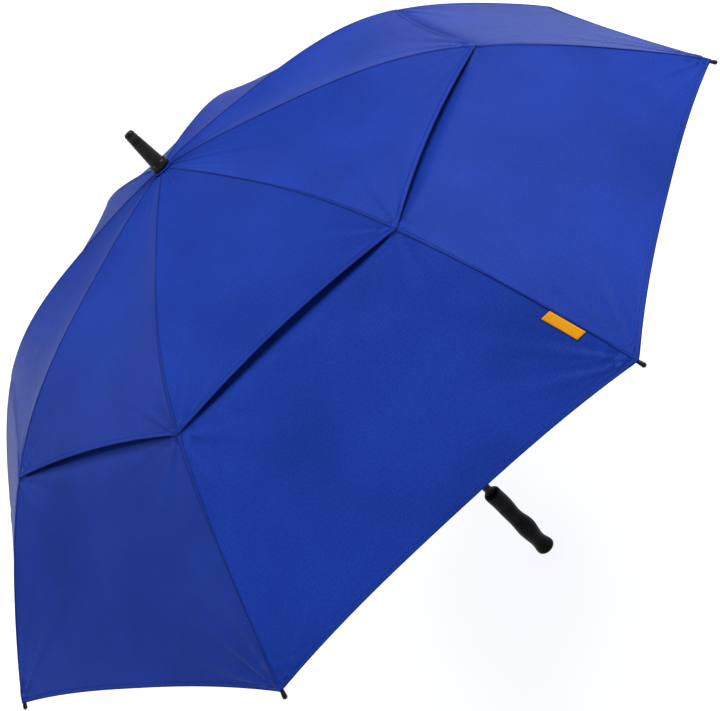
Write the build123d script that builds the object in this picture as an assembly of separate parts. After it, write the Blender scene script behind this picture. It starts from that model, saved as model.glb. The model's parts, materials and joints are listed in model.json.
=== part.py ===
from build123d import *

import os
from math import asin, atan, cos, degrees, hypot, radians, sin

# Golf umbrella, open, standing on the end of its grip. Millimetres, +Z up along the shaft.
# The origin is on the shaft's axis, at the bottom of the grip.

# ---- driving dimensions ----
RIB_COUNT = 8
RIM_RADIUS = 650.0          # shaft axis to the ends of the ribs, measured level at the fabric
RIM_HEIGHT = 603.0          # height of the rim over the bottom of the grip
CANOPY_RISE = 312.0         # rim to the top of the canopy
VENT_RADIUS = 425.6         # where the upper canopy's hem crosses a rib
TOTAL_HEIGHT = 980.0
GRIP_LENGTH = 168.0

SHAFT_RADIUS = 7.0
SHAFT_WALL = 2.0
RIB_ROD_RADIUS = 2.0
STRETCHER_ROD_RADIUS = 2.3
RUNNING_CLEARANCE = 0.05    # radial, pins in their holes
BODY_GAP = 0.3              # between solids that move apart

FABRIC_THICKNESS = 0.5
LAYER_GAP = 0.4             # between the two canopy layers
VENT_OVERLAP = 48.0         # how far the lower canopy runs up under the upper one
HEM_BACK = 5.0              # hem's corners to the rib's end, along the arc
HEM_SCALLOP = 8.8           # how far the rim's hem bows in between two ribs, seen from above
VENT_SCALLOP = 8.6

PIVOT_RADIUS = 11.0         # crown and runner pivots, from the shaft's axis
CROWN_DROP = 7.5            # crown pivots, below the top of the canopy
RIB_DROP = 4.2              # rib's centre line, below the fabric at the rim
BRACKET_DROP = 7.0          # stretcher pivot, below the rib's centre line
BRACKET_ARC = 23.8          # where the bracket sits on the rib's arc, in degrees

# ---- worked out from them ----
STEP_ANGLE = 360 / RIB_COUNT
HALF_STEP = STEP_ANGLE / 2
CANOPY_ARC = 2 * degrees(atan(CANOPY_RISE / RIM_RADIUS))
CANOPY_CURVE = RIM_RADIUS / sin(radians(CANOPY_ARC))
CANOPY_TOP = RIM_HEIGHT + CANOPY_RISE
CANOPY_CENTRE = CANOPY_TOP - CANOPY_CURVE

CROWN_Z = CANOPY_TOP - CROWN_DROP
TIP_X = RIM_RADIUS - RIB_DROP * sin(radians(CANOPY_ARC))
TIP_Z = RIM_HEIGHT - RIB_DROP * cos(radians(CANOPY_ARC))
RIB_ARC = 2 * degrees(atan((CROWN_Z - TIP_Z) / (TIP_X - PIVOT_RADIUS)))
RIB_CURVE = (TIP_X - PIVOT_RADIUS) / sin(radians(RIB_ARC))
RIB_CENTRE = Vector(PIVOT_RADIUS, 0, CROWN_Z - RIB_CURVE)


def on_rib(arc, drop=0.0):
    """Point on the rib at azimuth 0, arc degrees out from the crown, drop below its centre line."""
    reach = RIB_CURVE - drop
    return RIB_CENTRE + Vector(reach * sin(radians(arc)), 0, reach * cos(radians(arc)))


def arc_degrees(length):
    return degrees(length / RIB_CURVE)


FLEX_ARC = degrees(asin((VENT_RADIUS - PIVOT_RADIUS) / RIB_CURVE))
CROWN_PIVOT = on_rib(0)
RIB_PIVOT = on_rib(BRACKET_ARC, BRACKET_DROP)
FLEX_PIVOT = on_rib(FLEX_ARC, -RIB_ROD_RADIUS)
REST_DIP = degrees(atan((CROWN_Z - RIB_PIVOT.Z) / (RIB_PIVOT.X - PIVOT_RADIUS)))
STRETCHER_LENGTH = hypot(RIB_PIVOT.X - PIVOT_RADIUS, CROWN_Z - RIB_PIVOT.Z)
RUNNER_Z = CROWN_Z - 2 * STRETCHER_LENGTH * sin(radians(REST_DIP))
RUNNER_PIVOT = Vector(PIVOT_RADIUS, 0, RUNNER_Z)

# ---- small parts ----
HUB_RADIUS = 15.5
EYE_THICKNESS = 2.0
EYE_RADIUS = 2.2
SLOT_WIDTH = EYE_THICKNESS + 2 * BODY_GAP
SLOT_ROOT = 8.3             # inner end of a hub's slots, from the axis
HUB_PIN_RADIUS = 0.8
HUB_PIN_LENGTH = 5.6
CROWN_BELOW = 4.5           # crown's faces, from its pivots
CROWN_ABOVE = 5.2
SOCKET_START = 7.0          # pivot to the end of a rib's or stretcher's socket
SOCKET_LENGTH = 13.0
SOCKET_WALL = 0.7
RIVET_RADIUS = 1.0
RIVET_HEAD_RADIUS = 1.8
RIVET_HEAD_HEIGHT = 0.6
LUG_THICKNESS = 2.4
LUG_RADIUS = 2.6
BRACKET_RADIUS = 3.4
BRACKET_LENGTH = 12.0
FORK_WIDTH = 6.0
FORK_HALF_HEIGHT = 2.8
FORK_BACK = 4.5             # pivot to the root of the fork's slot
FORK_LENGTH = 15.0          # pivot to the end of the fork
TIP_CAP_RADIUS = 2.8
TIP_CAP_NECK_RADIUS = 2.4   # the part of the cap that the fabric covers
TIP_CAP_START = 9.0         # the cap's open end, back from the rib's end along its arc
TIP_CAP_BARE = 2.4          # where it comes out from under the hem
TIP_CAP_NOSE = 1.5          # centre of its round nose, past the rib's end

RUNNER_BORE = SHAFT_RADIUS + 0.1
RUNNER_TOP = 3.6            # above the runner's pivots
RUNNER_LENGTH = 55.6
RUNNER_SLEEVE_RADIUS = 10.0
RUNNER_HUB_DEPTH = 5.5      # below the runner's pivots
RUNNER_FOOT_RADIUS = 12.5
RUNNER_FOOT_HEIGHT = 5.0
LATCH_AZIMUTH = HALF_STEP   # the catch sits between two ribs
LATCH_TOP = -10.0           # top of the catch's window, from the runner's pivots
LATCH_LENGTH = 24.0
LATCH_WIDTH = 6.0
LATCH_MIDDLE = RUNNER_Z + LATCH_TOP - LATCH_LENGTH / 2
EAR_RADIUS = 11.2           # middle of the ears that hold the button, from the axis
EAR_DEPTH = 5.2
EAR_WALL = 2.5
EAR_HEIGHT = 6.0
BUTTON_RADIUS = 11.6        # the button's pivot, from the axis
BUTTON_THICKNESS = 2.4
BUTTON_LENGTH = LATCH_LENGTH - 3
BUTTON_WIDTH = LATCH_WIDTH - 0.4
TRUNNION_LENGTH = LATCH_WIDTH + 3
THUMB_RIBS = 4              # ribs on the button's lower end
THUMB_RIB_STEP = 1.6
LEAF_RADIUS = 8.95          # middle of the catch's leaf spring, from the axis
LEAF_THICKNESS = 0.5
TOOTH_Z = RUNNER_Z - 14.5
TOOTH_HEIGHT = 3.0
TOOTH_WIDTH = 4.0
TOOTH_REACH = 0.9           # how far the tooth goes into the shaft's wall

SHAFT_BOTTOM = 30.0
SHAFT_TOP = 945.0
COLLAR_RADIUS = 13.0
COLLAR_HEIGHT = 10.0
FERRULE_BASE_RADIUS = 10.5
FERRULE_TIP_RADIUS = 6.5
ROSETTE_RADIUS = 15.0
ROSETTE_THICKNESS = 0.9
CORNER_ROUND = 1.2          # ferrule's collar
NOSE_ROUND = 2.5            # ferrule's end

STRAP_RIB = 3               # the rib that the closing strap is sewn beside, at the back
STRAP_WIDTH = 22.0
STRAP_THICKNESS = 1.2
STRAP_LENGTH = 95.0         # seen from above
STRAP_OUT = 540.0           # its middle, out from the shaft along the panel's mid line
STRAP_ASIDE = 150.0         # its middle, to the side of that line


def along(point, direction):
    """A plane at the point whose normal is the direction, with its own X level and sideways."""
    return Plane(origin=point, x_dir=(0, 1, 0), z_dir=direction)


def rod(start, end, radius):
    direction = end - start
    return extrude(along(start, direction) * Circle(radius), direction.length)


def rib_path(start_arc, end_arc):
    middle = (start_arc + end_arc) / 2
    return ThreePointArc(on_rib(start_arc), on_rib(middle), on_rib(end_arc))


def bent_rod(start_arc, end_arc, radius, bore=0.0):
    """A rod, or a tube with that bore, that follows the rib's arc."""
    path = rib_path(start_arc, end_arc)
    section = Circle(radius) - Circle(bore) if bore else Circle(radius)
    return sweep(along(path @ 0, path % 0) * section, path=path)


def cross_pin(point, radius, length):
    """A pin through the point, square to the rib's plane."""
    return extrude(Plane(origin=point, z_dir=(0, 1, 0)) * Circle(radius), length / 2, both=True)


def plate(start, end, half_height, thickness):
    """A flat bar in the rib's plane, from start to end."""
    direction = end - start
    bar = Rectangle(thickness, 2 * half_height)
    return extrude(along(start, direction) * bar, direction.length)


def eye(pivot, end, radius, thickness, hole):
    body = cross_pin(pivot, radius, thickness) + plate(pivot, end, radius, thickness)
    return body - cross_pin(pivot, hole, 2 * thickness)


def turned(shape, azimuth):
    return Rot(0, 0, azimuth) * shape


# ---- canopy ----
def panel_band(depth, thickness):
    """The curved strip of one panel: arcs between two ribs are straight and level chords."""
    half_width = RIM_RADIUS * sin(radians(HALF_STEP)) + 10
    squeeze = cos(radians(HALF_STEP))
    start = 90 - CANOPY_ARC
    plane = Plane(origin=(0, half_width, CANOPY_CENTRE), x_dir=(1, 0, 0), z_dir=(0, -1, 0))
    outer = CANOPY_CURVE - depth
    inner = outer - thickness
    top = EllipticalCenterArc((0, 0), outer * squeeze, outer, start, arc_size=CANOPY_ARC)
    bottom = EllipticalCenterArc((0, 0), inner * squeeze, inner, start, arc_size=CANOPY_ARC)
    edges = [top, bottom, Line(top @ 0, bottom @ 0), Line(top @ 1, bottom @ 1)]
    return extrude(plane * make_face(edges), 2 * half_width, dir=(0, -1, 0))


def scallop(corner_radius, bow):
    """What lies outside a hem that bows in between its corners, as an upright cutter."""
    chord = corner_radius * sin(radians(HALF_STEP))
    curve = (chord ** 2 + bow ** 2) / (2 * bow)
    middle = corner_radius * cos(radians(HALF_STEP)) - bow
    return Pos(middle + curve, 0, CANOPY_TOP - RIM_RADIUS / 2) * Cylinder(curve, RIM_RADIUS + 200)


def half_panel(depth, thickness, inner_radius, hem):
    """Half of a panel, on the side of the rib at azimuth 0, in the panel's own mid line frame."""
    size = 3 * RIM_RADIUS
    block = Box(size, size, size, align=(Align.CENTER, Align.MIN, Align.CENTER))
    past_middle = Pos(0, -BODY_GAP / 2, CANOPY_TOP) * block
    past_rib = Pos(0, 0, CANOPY_TOP) * Rot(0, 0, 180 - HALF_STEP) * block
    hole = Pos(0, 0, CANOPY_TOP) * Cylinder(inner_radius, 2 * RIM_RADIUS)
    return panel_band(depth, thickness) - past_middle - past_rib - hem - hole


def rib_gore(depth, inner_radius, hem_radius, bow):
    """The canopy on both sides of one rib, out to the middle of each panel."""
    half = half_panel(depth, FABRIC_THICKNESS, inner_radius, scallop(hem_radius, bow))
    left = turned(half, HALF_STEP)
    return left + mirror(left, about=Plane.XZ)


def upper_gore():
    return rib_gore(0, SHAFT_RADIUS + 2 * BODY_GAP, VENT_RADIUS, VENT_SCALLOP)


def lower_gore():
    hem_radius = RIM_RADIUS - HEM_BACK * cos(radians(CANOPY_ARC))
    return rib_gore(FABRIC_THICKNESS + LAYER_GAP, VENT_RADIUS - VENT_OVERLAP, hem_radius, HEM_SCALLOP)


def closure_strap():
    """A short hook-and-loop strap that lies on the back panel, beside its seam."""
    lift = BODY_GAP + STRAP_THICKNESS
    band = panel_band(-lift, STRAP_THICKNESS)
    window = Pos(STRAP_OUT, STRAP_ASIDE, CANOPY_TOP) * Box(STRAP_LENGTH, STRAP_WIDTH, 2 * CANOPY_RISE)
    return turned(band & window, (STRAP_RIB - 1) * STEP_ANGLE - HALF_STEP)


# ---- ribs and stretchers ----
def rib_inner():
    """Rod from the crown to the vent, its crown end fitting and the stretcher's bracket."""
    socket_end = arc_degrees(SOCKET_START + SOCKET_LENGTH)
    socket_start = arc_degrees(SOCKET_START)
    flex = FLEX_ARC - arc_degrees(BODY_GAP / 2)
    body = bent_rod(socket_start, flex, RIB_ROD_RADIUS)
    socket = bent_rod(socket_start, socket_end, RIB_ROD_RADIUS + SOCKET_WALL, RIB_ROD_RADIUS)
    eye_end = on_rib(socket_start)
    hole = HUB_PIN_RADIUS + RUNNING_CLEARANCE
    fitting = socket + eye(CROWN_PIVOT, eye_end, EYE_RADIUS, EYE_THICKNESS, hole)
    reach = arc_degrees(BRACKET_LENGTH / 2)
    collar = bent_rod(BRACKET_ARC - reach, BRACKET_ARC + reach, BRACKET_RADIUS, RIB_ROD_RADIUS)
    lug_top = on_rib(BRACKET_ARC, RIB_ROD_RADIUS + SOCKET_WALL)
    lug = eye(RIB_PIVOT, lug_top, LUG_RADIUS, LUG_THICKNESS, RIVET_RADIUS + RUNNING_CLEARANCE)
    return Compound(children=[body, fitting, collar + lug])


def rib_outer():
    flex = FLEX_ARC + arc_degrees(BODY_GAP / 2)
    return bent_rod(flex, RIB_ARC, RIB_ROD_RADIUS)


def tip_cap():
    """Moulded cap on the rib's end: a thin neck under the hem, then a thicker, round nose."""
    start = RIB_ARC - arc_degrees(TIP_CAP_START)
    bare = RIB_ARC - arc_degrees(TIP_CAP_BARE)
    end = RIB_ARC + arc_degrees(TIP_CAP_NOSE)
    nose = Pos(on_rib(end)) * Sphere(TIP_CAP_RADIUS)
    neck = bent_rod(start, bare, TIP_CAP_NECK_RADIUS)
    return neck + bent_rod(bare, end, TIP_CAP_RADIUS) + nose - rib_outer()


def stretcher():
    """Rod with an eye for the runner and a riveted fork for the rib's bracket."""
    direction = (RIB_PIVOT - RUNNER_PIVOT).normalized()
    socket_start = RUNNER_PIVOT + direction * SOCKET_START
    socket_end = socket_start + direction * SOCKET_LENGTH
    fork_root = RIB_PIVOT - direction * FORK_BACK
    fork_end = RIB_PIVOT - direction * FORK_LENGTH
    rod_end = fork_root - direction
    body = rod(socket_start, rod_end, STRETCHER_ROD_RADIUS)
    sleeve = rod(socket_start, socket_end, STRETCHER_ROD_RADIUS + SOCKET_WALL)
    hole = HUB_PIN_RADIUS + RUNNING_CLEARANCE
    fitting = sleeve + eye(RUNNER_PIVOT, socket_start, EYE_RADIUS, EYE_THICKNESS, hole) - body
    block = plate(RIB_PIVOT, fork_end, FORK_HALF_HEIGHT, FORK_WIDTH)
    block += cross_pin(RIB_PIVOT, FORK_HALF_HEIGHT, FORK_WIDTH)
    nose = RIB_PIVOT + direction * (FORK_HALF_HEIGHT + 1)
    slot = plate(fork_root, nose, 2 * FORK_HALF_HEIGHT, LUG_THICKNESS + 2 * BODY_GAP)
    shank = cross_pin(RIB_PIVOT, RIVET_RADIUS, FORK_WIDTH)
    heads = cross_pin(RIB_PIVOT, RIVET_HEAD_RADIUS, FORK_WIDTH + 2 * RIVET_HEAD_HEIGHT)
    heads -= cross_pin(RIB_PIVOT, 2 * RIVET_RADIUS, FORK_WIDTH)
    return Compound(children=[body, fitting, block - slot - shank - body, shank + heads])


# ---- shaft, crown and runner ----
def ring(radius, bore, bottom, top):
    section = Circle(radius) - Circle(bore) if bore else Circle(radius)
    return extrude(Pos(0, 0, bottom) * section, top - bottom)


def tooth(clearance=0.0):
    """The catch's tooth, or with a clearance the slot that it drops into."""
    width = TOOTH_WIDTH + 2 * clearance
    height = TOOTH_HEIGHT + 2 * clearance
    inner = SHAFT_RADIUS - TOOTH_REACH - clearance
    outer = LEAF_RADIUS - LEAF_THICKNESS / 2
    block = Box(outer - inner, width, height)
    return turned(Pos((inner + outer) / 2, 0, TOOTH_Z) * block, LATCH_AZIMUTH)


def shaft():
    tube = ring(SHAFT_RADIUS, SHAFT_RADIUS - SHAFT_WALL, SHAFT_BOTTOM, SHAFT_TOP)
    return tube - tooth(BODY_GAP)


def radial_slots(bottom, top):
    """Eight slots for the eyes of the ribs or stretchers, open at the outside."""
    length = HUB_RADIUS - SLOT_ROOT + 1
    slot = Pos(SLOT_ROOT + length / 2, 0, (bottom + top) / 2) * Box(length, SLOT_WIDTH, top - bottom)
    return [turned(slot, k * STEP_ANGLE) for k in range(RIB_COUNT)]


def hub_pins(pivot):
    pin = cross_pin(pivot, HUB_PIN_RADIUS, HUB_PIN_LENGTH)
    return [turned(pin, k * STEP_ANGLE) for k in range(RIB_COUNT)]


def crown():
    bottom = CROWN_Z - CROWN_BELOW
    top = CROWN_Z + CROWN_ABOVE
    body = ring(HUB_RADIUS, SHAFT_RADIUS, bottom, top)
    return body - radial_slots(bottom - 1, CROWN_Z + EYE_RADIUS + BODY_GAP) - hub_pins(CROWN_PIVOT)


def runner():
    """Sleeve that slides on the shaft, with a slotted hub at its top and a window for the catch."""
    bottom = RUNNER_Z + RUNNER_TOP - RUNNER_LENGTH
    top = RUNNER_Z + RUNNER_TOP
    body = ring(RUNNER_SLEEVE_RADIUS, RUNNER_BORE, bottom, top)
    body += ring(HUB_RADIUS, RUNNER_BORE, RUNNER_Z - RUNNER_HUB_DEPTH, top)
    body += ring(RUNNER_FOOT_RADIUS, RUNNER_BORE, bottom, bottom + RUNNER_FOOT_HEIGHT)
    place = Pos(EAR_RADIUS, 0, LATCH_MIDDLE)
    ears = place * Box(EAR_DEPTH, LATCH_WIDTH + 2 * EAR_WALL, EAR_HEIGHT)
    pocket = place * Box(2 * EAR_DEPTH, LATCH_WIDTH + 2 * BODY_GAP, 2 * EAR_HEIGHT)
    body += turned(ears - pocket, LATCH_AZIMUTH)
    window = Pos(RUNNER_SLEEVE_RADIUS, 0, LATCH_MIDDLE) * Box(SHAFT_RADIUS, LATCH_WIDTH, LATCH_LENGTH)
    body -= turned(window, LATCH_AZIMUTH)
    body -= turned(latch_trunnion(RUNNING_CLEARANCE), LATCH_AZIMUTH)
    slots = radial_slots(RUNNER_Z - EYE_RADIUS - BODY_GAP, top + 1)
    return body - slots - hub_pins(RUNNER_PIVOT)


def latch_trunnion(clearance=0.0):
    pivot = Vector(BUTTON_RADIUS, 0, LATCH_MIDDLE)
    return cross_pin(pivot, RIVET_RADIUS + clearance, TRUNNION_LENGTH + 2 * clearance)


def latch_button():
    """Rocking button over the catch: pressing its lower end lifts its upper end."""
    pad = Pos(BUTTON_RADIUS, 0, LATCH_MIDDLE) * Box(BUTTON_THICKNESS, BUTTON_WIDTH, BUTTON_LENGTH)
    pad = fillet(pad.edges().filter_by(Axis.Y), BUTTON_THICKNESS / 3)
    face = BUTTON_RADIUS + BUTTON_THICKNESS / 2
    lowest = LATCH_MIDDLE - BUTTON_LENGTH / 2 + THUMB_RIB_STEP
    rib = Box(THUMB_RIB_STEP / 3, BUTTON_WIDTH - 1, THUMB_RIB_STEP / 2)
    ribs = [Pos(face, 0, lowest + k * THUMB_RIB_STEP) * rib for k in range(THUMB_RIBS)]
    return turned(pad + latch_trunnion() + ribs, LATCH_AZIMUTH)


def latch_spring():
    """Leaf in the runner's window, with the tooth that drops into the shaft's slot."""
    leaf = Pos(LEAF_RADIUS, 0, LATCH_MIDDLE) * Box(LEAF_THICKNESS, LATCH_WIDTH - 1, LATCH_LENGTH)
    return turned(leaf, LATCH_AZIMUTH) + tooth()


def ferrule():
    """Tapered nose with a wider collar that clamps the canopy on the crown."""
    bottom = CANOPY_TOP + ROSETTE_THICKNESS + BODY_GAP
    shoulder = bottom + COLLAR_HEIGHT
    collar = fillet(ring(COLLAR_RADIUS, 0, bottom, shoulder).edges().group_by(Axis.Z)[-1], CORNER_ROUND)
    length = TOTAL_HEIGHT - shoulder
    nose = Pos(0, 0, shoulder + length / 2) * Cone(FERRULE_BASE_RADIUS, FERRULE_TIP_RADIUS, length)
    nose = fillet(nose.edges().group_by(Axis.Z)[-1], NOSE_ROUND)
    return collar + nose - ring(SHAFT_RADIUS, 0, bottom - 1, SHAFT_TOP)


def rosette():
    bottom = CANOPY_TOP + BODY_GAP / 2
    return ring(ROSETTE_RADIUS, SHAFT_RADIUS + BODY_GAP, bottom, CANOPY_TOP + ROSETTE_THICKNESS)


def grip():
    """Soft moulded grip with a domed shoulder, two waists round a palm swell, and a flared end."""
    top = GRIP_LENGTH
    side = Spline((13.8, top - 8), (14.5, 134), (13.7, 95), (16.3, 60), (13.6, 27), (15.6, 9))
    base = Spline(side @ 1, (14.2, 2.6), (9, 0), tangents=[side % 1, (-1, 0)])
    shoulder = Spline((SHAFT_RADIUS, top), (11.2, top - 1.8), side @ 0, tangents=[(1, 0), side % 0])
    inner = Polyline(base @ 1, (0, 0), (0, SHAFT_BOTTOM), (SHAFT_RADIUS, SHAFT_BOTTOM), (SHAFT_RADIUS, top))
    outline = make_face([side, base, shoulder, inner])
    return revolve(Plane.XZ * outline, Axis.Z)


def parts():
    nodes = {
        "shaft": shaft(),
        "ferrule": ferrule(),
        "canopy_rosette": rosette(),
        "crown": crown(),
        "crown_pins": Compound(children=hub_pins(CROWN_PIVOT)),
        "grip": grip(),
        "runner": runner(),
        "runner_pins": Compound(children=hub_pins(RUNNER_PIVOT)),
        "latch_button": latch_button(),
        "latch_spring": latch_spring(),
        "closure_strap": closure_strap(),
    }
    repeated = {
        "rib_{}_inner": rib_inner(),
        "rib_{}_outer": rib_outer(),
        "rib_{}_tip_cap": tip_cap(),
        "stretcher_{}": stretcher(),
        "upper_canopy_{}": upper_gore(),
        "lower_canopy_{}": lower_gore(),
    }
    for k in range(RIB_COUNT):
        for name, shape in repeated.items():
            nodes[name.format(k + 1)] = turned(shape, k * STEP_ANGLE)
    return nodes


os.makedirs("parts", exist_ok=True)
for node, shape in parts().items():
    export_step(shape, f"parts/{node}.step")

pivots = {"crown": CROWN_PIVOT, "rib": RIB_PIVOT, "flex": FLEX_PIVOT, "runner": RUNNER_PIVOT}
for name, point in pivots.items():
    print(name, "pivot", round(point.X, 4), round(point.Z, 4))
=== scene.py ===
import json
import math
import random

import bmesh
import bpy
from mathutils import Euler, Matrix, Vector


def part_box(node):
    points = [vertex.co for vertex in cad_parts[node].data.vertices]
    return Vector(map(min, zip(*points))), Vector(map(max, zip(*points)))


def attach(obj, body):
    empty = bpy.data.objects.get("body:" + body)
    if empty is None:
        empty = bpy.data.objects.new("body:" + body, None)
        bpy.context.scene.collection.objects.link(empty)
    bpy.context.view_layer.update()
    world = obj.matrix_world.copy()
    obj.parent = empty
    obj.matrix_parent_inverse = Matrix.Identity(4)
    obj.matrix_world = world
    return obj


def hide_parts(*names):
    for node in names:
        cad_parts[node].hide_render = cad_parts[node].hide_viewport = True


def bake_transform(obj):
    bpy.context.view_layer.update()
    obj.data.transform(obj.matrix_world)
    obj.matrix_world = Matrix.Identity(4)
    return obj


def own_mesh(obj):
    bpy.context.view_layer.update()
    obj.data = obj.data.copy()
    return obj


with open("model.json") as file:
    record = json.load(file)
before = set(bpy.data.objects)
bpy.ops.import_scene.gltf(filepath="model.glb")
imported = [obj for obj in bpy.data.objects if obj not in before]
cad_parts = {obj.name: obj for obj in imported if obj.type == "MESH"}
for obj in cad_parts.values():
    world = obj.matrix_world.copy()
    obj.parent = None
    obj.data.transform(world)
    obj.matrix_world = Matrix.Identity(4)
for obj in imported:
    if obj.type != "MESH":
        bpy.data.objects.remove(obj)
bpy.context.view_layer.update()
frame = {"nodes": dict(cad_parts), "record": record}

# An open golf umbrella with a vented canopy of two layers, standing on the end of its grip.
# Metres, +Z up along the shaft. Rib 1 is at azimuth 0, and panel 1 is between ribs 1 and 2.
# In the canopy, s is the length from the crown along the fabric, and t runs across a panel,
# from -1 on its first rib to 1 on its second.

# ---- dimensions ----
MM = 0.001
RIBS = 8
STEP = math.tau / RIBS
HALF = STEP / 2
JOINTS = {j["name"]: j for j in frame["record"]["behaviour"]["joints"]}
CROWN = Vector(JOINTS["rib_1_fold"]["pos_m"])
BRACKET = Vector(JOINTS["stretcher_1_hinge"]["pos_m"])

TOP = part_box("upper_canopy_1")[1].z
RIM_RADIUS = 0.650
RISE = 0.312
ARC = 2 * math.atan(RISE / RIM_RADIUS)
CURVE = RIM_RADIUS / math.sin(ARC)
FULL = CURVE * ARC                      # crown to the rib's end

CROWN_HOLE = 11 * MM
VENT = 0.4467                           # crown to the upper hem's corners
VENT_BOW = 0.024                        # share that the vent's hem bows in
LOWER_START = 0.394
HEM = FULL - 5 * MM
HEM_BOW = 0.0165
LAYER_DROP = 0.9 * MM                   # lower layer under the upper one
CLOTH = 0.35 * MM

RIB_ARC = math.radians(51.572)
RIB_CURVE = 0.811506
ROD_RADIUS = 2 * MM
BRACKET_ARC = math.radians(23.8)

# How the springy rib departs from a plain arc: flatter near the crown, proud where the
# stretcher pushes it and flatter again towards its tip.
DIP_AT, DIP = 0.16, -6.6 * MM
PROUD_AT, PROUD = 0.39, 3.8 * MM
TAIL_AT, TAIL = 0.63, -4.7 * MM

SMOOTH_EDGE = math.radians(40)          # sharper edges than this are creased or bevelled


# ---- mesh helpers ----
def link(name, mesh):
    piece = bpy.data.objects.new(name, mesh)
    bpy.context.scene.collection.objects.link(piece)
    return piece


def make_piece(name, verts, faces, materials, face_slots=None, smooth=True, uvs=None):
    mesh = bpy.data.meshes.new(name)
    mesh.from_pydata([tuple(v) for v in verts], [], faces)
    for material in materials:
        mesh.materials.append(material)
    if face_slots:
        mesh.polygons.foreach_set("material_index", face_slots)
    mesh.polygons.foreach_set("use_smooth", [smooth] * len(faces))
    if uvs:
        layer = mesh.uv_layers.new(name="UVMap")
        for loop in mesh.loops:
            layer.data[loop.index].uv = uvs[loop.vertex_index]
    mesh.update()
    return link(name, mesh)


def face_outward(piece):
    bm = bmesh.new()
    bm.from_mesh(piece.data)
    bmesh.ops.recalc_face_normals(bm, faces=bm.faces)
    bm.to_mesh(piece.data)
    bm.free()


def grid_faces(rows, columns, base=0, wrap=False):
    faces = []
    span = columns if wrap else columns - 1
    for r in range(rows - 1):
        for c in range(span):
            a = base + r * columns + c
            b = base + r * columns + (c + 1) % columns
            faces.append((a, b, b + columns, a + columns))
    return faces


def lathe(name, profile, material, sides, crease):
    """A turned piece round the shaft's axis from (radius, height) points, closed at radius 0."""
    mesh = bpy.data.meshes.new(name)
    bm = bmesh.new()
    rings = []
    for radius, height in profile:
        if radius < 1e-6:
            rings.append([bm.verts.new((0, 0, height))])
        else:
            rings.append([bm.verts.new((radius * math.cos(math.tau * k / sides),
                                        radius * math.sin(math.tau * k / sides), height))
                          for k in range(sides)])
    for low, high in zip(rings, rings[1:]):
        for k in range(sides):
            a, b = low[k % len(low)], low[(k + 1) % len(low)]
            c, d = high[(k + 1) % len(high)], high[k % len(high)]
            corners = []
            for v in (a, b, c, d):
                if v not in corners:
                    corners.append(v)
            if len(corners) > 2:
                bm.faces.new(corners)
    bmesh.ops.recalc_face_normals(bm, faces=bm.faces)
    bm.to_mesh(mesh)
    bm.free()
    mesh.materials.append(material)
    mesh.polygons.foreach_set("use_smooth", [True] * len(mesh.polygons))
    piece = link(name, mesh)
    mesh.set_sharp_from_angle(angle=math.radians(crease))
    return piece


def tube(name, path, radii, material, sides=14):
    """A round piece along a path, one radius for each of its points, with flat ends."""
    verts = []
    count = len(path)
    for k, point in enumerate(path):
        ahead = path[min(k + 1, count - 1)] - path[max(k - 1, 0)]
        ahead.normalize()
        side = Vector((0, 0, 1)).cross(ahead)
        side.normalize()
        up = ahead.cross(side)
        for s in range(sides):
            angle = math.tau * s / sides
            verts.append(point + (side * math.cos(angle) + up * math.sin(angle)) * radii[k])
    faces = grid_faces(count, sides, wrap=True)
    faces.append(tuple(range(sides - 1, -1, -1)))
    faces.append(tuple(range((count - 1) * sides, count * sides)))
    piece = make_piece(name, verts, faces, [material])
    piece.data.set_sharp_from_angle(angle=SMOOTH_EDGE)
    return piece


def bevel(piece, width):
    modifier = piece.modifiers.new("bevel", "BEVEL")
    modifier.width = width
    modifier.segments = 2
    modifier.limit_method = "ANGLE"
    modifier.angle_limit = SMOOTH_EDGE
    return piece


def thicken(piece, depth):
    modifier = piece.modifiers.new("cloth", "SOLIDIFY")
    modifier.thickness = depth
    modifier.offset = -1


def azimuth(k):
    return k * STEP


def turn(point, angle):
    return Matrix.Rotation(angle, 4, "Z") @ Vector(point)


# ---- materials ----
def new_material(name):
    material = bpy.data.materials.new(name)
    material.use_nodes = True
    nodes, links = material.node_tree.nodes, material.node_tree.links
    return material, nodes, links, nodes["Principled BSDF"]


def ramp(nodes, stops):
    node = nodes.new("ShaderNodeValToRGB")
    elements = node.color_ramp.elements
    while len(elements) < len(stops):
        elements.new(0.5)
    for element, (place, value) in zip(elements, stops):
        element.position = place
        grey = isinstance(value, float)
        element.color = (value, value, value, 1) if grey else (*value, 1)
    return node


def noise(nodes, links, vector, scale, detail=4.0, roughness=0.55):
    node = nodes.new("ShaderNodeTexNoise")
    node.inputs["Scale"].default_value = scale
    node.inputs["Detail"].default_value = detail
    node.inputs["Roughness"].default_value = roughness
    links.new(vector, node.inputs["Vector"])
    return node.outputs["Fac"]


def wave(nodes, links, vector, scale, direction, distortion=0.0):
    node = nodes.new("ShaderNodeTexWave")
    node.wave_type = "BANDS"
    node.bands_direction = direction
    node.inputs["Scale"].default_value = scale
    node.inputs["Distortion"].default_value = distortion
    node.inputs["Detail"].default_value = 2.0
    links.new(vector, node.inputs["Vector"])
    return node.outputs["Fac"]


def mix(nodes, links, a, share_a, b, share_b):
    """a times share_a plus b times share_b."""
    parts = []
    for socket, share in ((a, share_a), (b, share_b)):
        node = nodes.new("ShaderNodeMath")
        node.operation = "MULTIPLY"
        links.new(socket, node.inputs[0])
        node.inputs[1].default_value = share
        parts.append(node.outputs[0])
    total = nodes.new("ShaderNodeMath")
    total.operation = "ADD"
    for part, socket in zip(parts, total.inputs):
        links.new(part, socket)
    return total.outputs[0]


def drive(links, source, node, shader, socket):
    """source picks a place on the ramp, and the ramp's colour feeds the shader's socket."""
    links.new(source, node.inputs["Fac"])
    links.new(node.outputs["Color"], shader.inputs[socket])


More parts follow.
